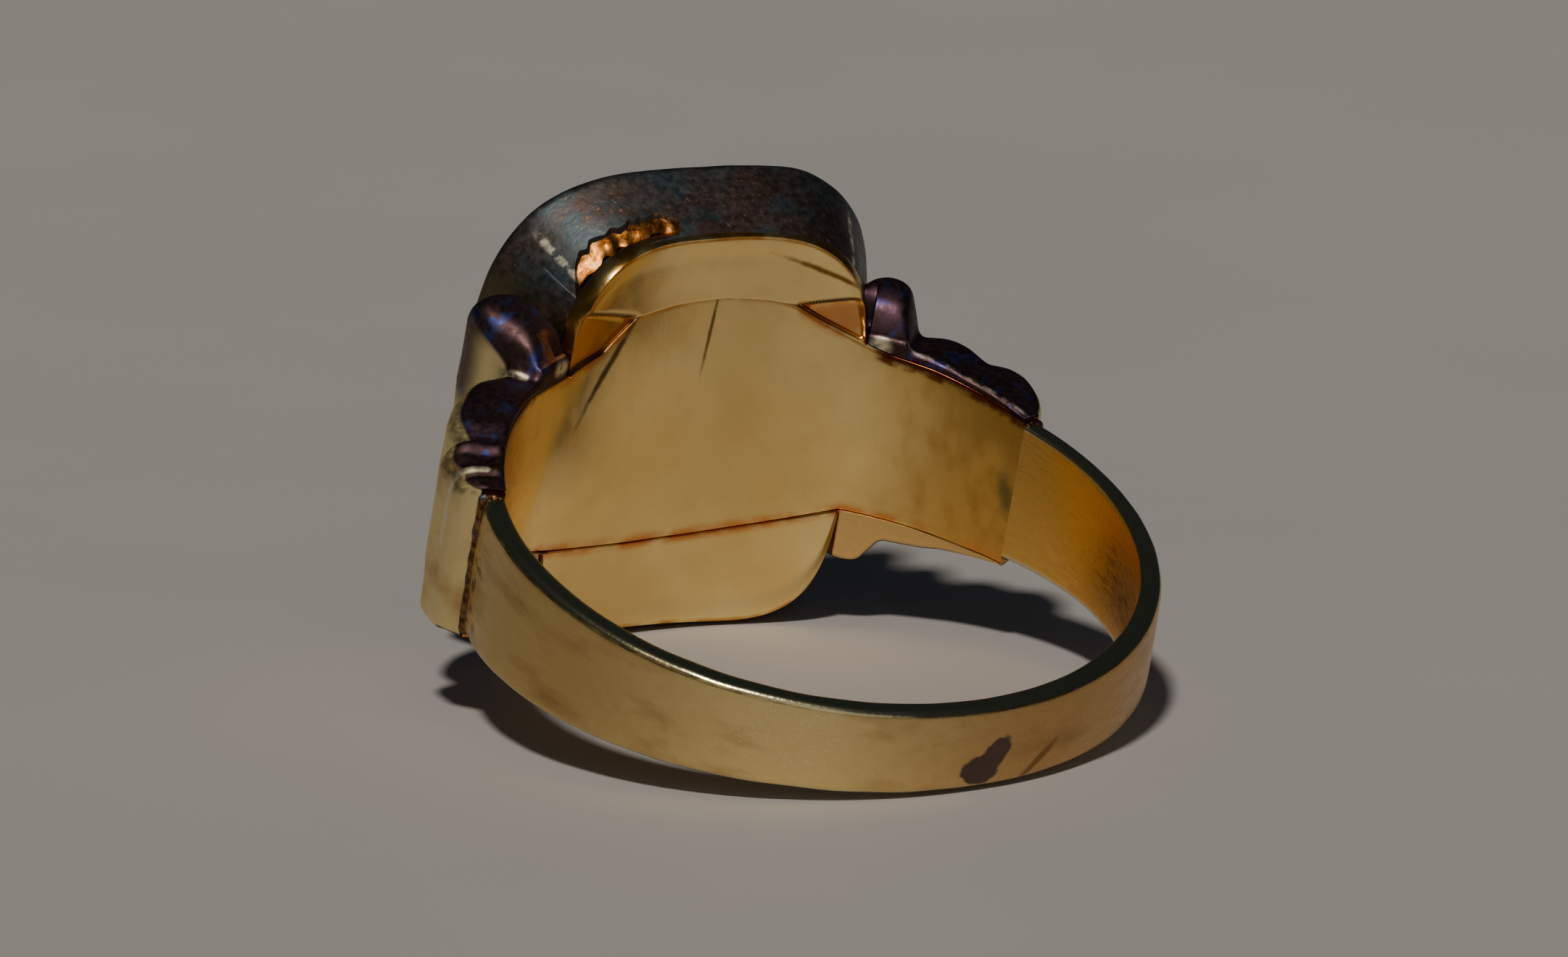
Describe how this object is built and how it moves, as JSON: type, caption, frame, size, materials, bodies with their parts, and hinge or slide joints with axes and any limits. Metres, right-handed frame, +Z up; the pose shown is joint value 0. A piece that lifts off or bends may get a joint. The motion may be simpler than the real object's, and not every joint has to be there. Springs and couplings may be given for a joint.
{
  "type": "signet ring",
  "caption": "Hollow-headed signet ring: tapered band, moulded shoulders, finger liner and a plain cushion-shaped face, lying on its side.",
  "frame": {"origin": "centre of the finger hole, on its axis, midway along the finger", "axes": "+Z up with the ring lying on its side; +Y from the back of the band towards the face; +X across the ring; the finger hole's axis leans back from +Z by the angle at which the ring rests"},
  "size_m": [0.0218, 0.0253, 0.0154],
  "materials": {
    "band_gold": "worn olive gold with fine scratches and brown tarnish",
    "solder": "dark pitted solder",
    "liner_gold": "polished yellow gold, orange along the seams",
    "shoulder_gold": "cast gold toned purple-brown with bright worn crests",
    "toned_gold": "gold toned dark blue-grey and brown, worn bright at the corners"
  },
  "bodies": {
    "root": {"shank": "band_gold", "left_solder_joint": "solder", "right_solder_joint": "solder", "finger_liner": "liner_gold", "left_shoulder": "shoulder_gold", "right_shoulder": "shoulder_gold", "head_side_wall": "toned_gold", "upper_back_plate": "liner_gold", "lower_back_plate": "liner_gold", "face_plate": "toned_gold"}
  },
  "joints": []
}
